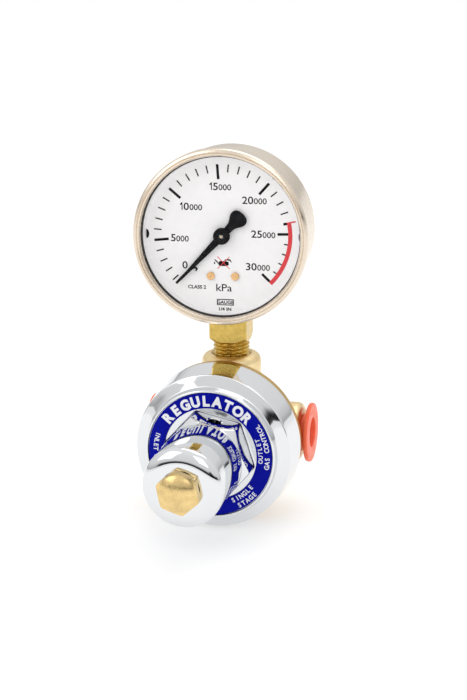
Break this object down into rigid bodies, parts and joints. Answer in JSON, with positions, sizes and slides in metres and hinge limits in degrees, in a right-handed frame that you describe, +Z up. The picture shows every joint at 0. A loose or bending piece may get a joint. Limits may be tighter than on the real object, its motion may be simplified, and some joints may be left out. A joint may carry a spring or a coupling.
{
  "type": "gas regulator",
  "caption": "Compact preset gas pressure regulator: brass body with side inlet and outlet ports, chromed bonnet with a hex adjusting screw, and a round contents gauge on top.",
  "frame": {"origin": "centre of the flat rear face of the brass body", "axes": "+Z up towards the gauge, -Y forward along the bonnet nose, +X towards the outlet port, -X towards the inlet port"},
  "size_m": [0.0634, 0.0882, 0.137],
  "materials": {
    "brass": "machined and tumbled, bright",
    "forged_brass": "forged and bright dipped",
    "chrome": "polished chrome plate",
    "steel": "plain",
    "champagne_plating": "pressed steel, champagne-coloured plating",
    "blue_label": "printed foil, gloss",
    "rubber": "matt",
    "seat_polymer": "matt",
    "sintered_bronze": "rough sintered",
    "orange_plastic": "soft polyethylene",
    "dial_white": "printed, matt",
    "black_paint": "matt",
    "clear_window": "clear"
  },
  "bodies": {
    "regulator_body": {"body": "forged_brass", "bonnet": "chrome", "label_ring": "blue_label", "slip_ring": "brass", "diaphragm": "rubber", "main_spring": "steel", "nozzle": "brass", "nozzle_seal": "rubber", "valve_spring": "steel", "inlet_filter": "sintered_bronze", "filter_retainer": "steel", "gauge_socket": "brass", "gauge_case": "champagne_plating", "gauge_bezel": "champagne_plating", "gauge_window": "clear_window", "window_gasket": "rubber", "dial": "dial_white", "dial_screw_left": "brass", "dial_screw_right": "brass", "zero_stop_pin": "black_paint", "bourdon_tube": "brass", "movement_back_plate": "brass", "movement_front_plate": "brass", "movement_pillar_left": "brass", "movement_pillar_right": "brass", "movement_screw_left": "steel", "movement_screw_right": "steel", "hairspring": "steel", "blowout_plug": "rubber", "restrictor_screw": "brass"},
    "spring_button": {"upper_spring_button": "steel"},
    "adjusting_screw": {"adjusting_screw": "brass"},
    "diaphragm_plate": {"diaphragm_plate": "brass"},
    "valve": {"valve_poppet": "brass", "seat_disc": "seat_polymer"},
    "pointer": {"pointer": "black_paint", "pinion_arbor": "steel"},
    "sector": {"sector_gear": "brass"},
    "link": {"link": "brass", "tube_tip": "brass"},
    "inlet_plug": {"inlet_plug": "orange_plastic"},
    "outlet_plug": {"outlet_plug": "orange_plastic"}
  },
  "joints": [
    {"name": "spring_button_travel", "type": "slide", "parent": "regulator_body", "child": "spring_button", "axis": [0, -1, 0], "range_m": [0, 0.00312], "deforming": ["main_spring"]},
    {"name": "adjusting_screw_turn", "type": "hinge", "parent": "spring_button", "child": "adjusting_screw", "pos_m": [0, -0.0833, 0], "axis": [0, -1, 0], "range_deg": [0, 900]},
    {"name": "diaphragm_travel", "type": "slide", "parent": "regulator_body", "child": "diaphragm_plate", "axis": [0, 1, 0], "range_m": [-0.00025, 0.0008], "stiffness_N_per_m": 800, "deforming": ["diaphragm", "main_spring"]},
    {"name": "valve_lift", "type": "slide", "parent": "regulator_body", "child": "valve", "axis": [0, 1, 0], "range_m": [-0.0003, 0.0009], "deforming": ["valve_spring"]},
    {"name": "pointer_turn", "type": "hinge", "parent": "regulator_body", "child": "pointer", "pos_m": [0, -0.013, 0.07585], "axis": [-0.0558, 0.9984, 0], "range_deg": [0, 270], "stiffness_Nm_per_rad": 0.002, "deforming": ["bourdon_tube", "hairspring"]},
    {"name": "sector_turn", "type": "hinge", "parent": "regulator_body", "child": "sector", "pos_m": [0, -0.013, 0.06645], "axis": [-0.0558, 0.9984, 0], "range_deg": [-51, 1]},
    {"name": "link_turn", "type": "hinge", "parent": "sector", "child": "link", "pos_m": [-0.00459, -0.01326, 0.06445], "axis": [-0.0558, 0.9984, 0], "range_deg": [-1, 51]},
    {"name": "inlet_plug_pull", "type": "slide", "parent": "regulator_body", "child": "inlet_plug", "axis": [-1, 0, 0], "range_m": [0, 0.025]},
    {"name": "outlet_plug_pull", "type": "slide", "parent": "regulator_body", "child": "outlet_plug", "axis": [1, 0, 0], "range_m": [0, 0.025]}
  ],
  "couplings": [
    {"joint": "adjusting_screw_turn", "follows": "spring_button_travel", "rad_per_m": 5026.5},
    {"joint": "valve_lift", "follows": "diaphragm_travel", "ratio": 1},
    {"joint": "sector_turn", "follows": "pointer_turn", "ratio": -0.18605},
    {"joint": "link_turn", "follows": "pointer_turn", "ratio": 0.18605}
  ]
}
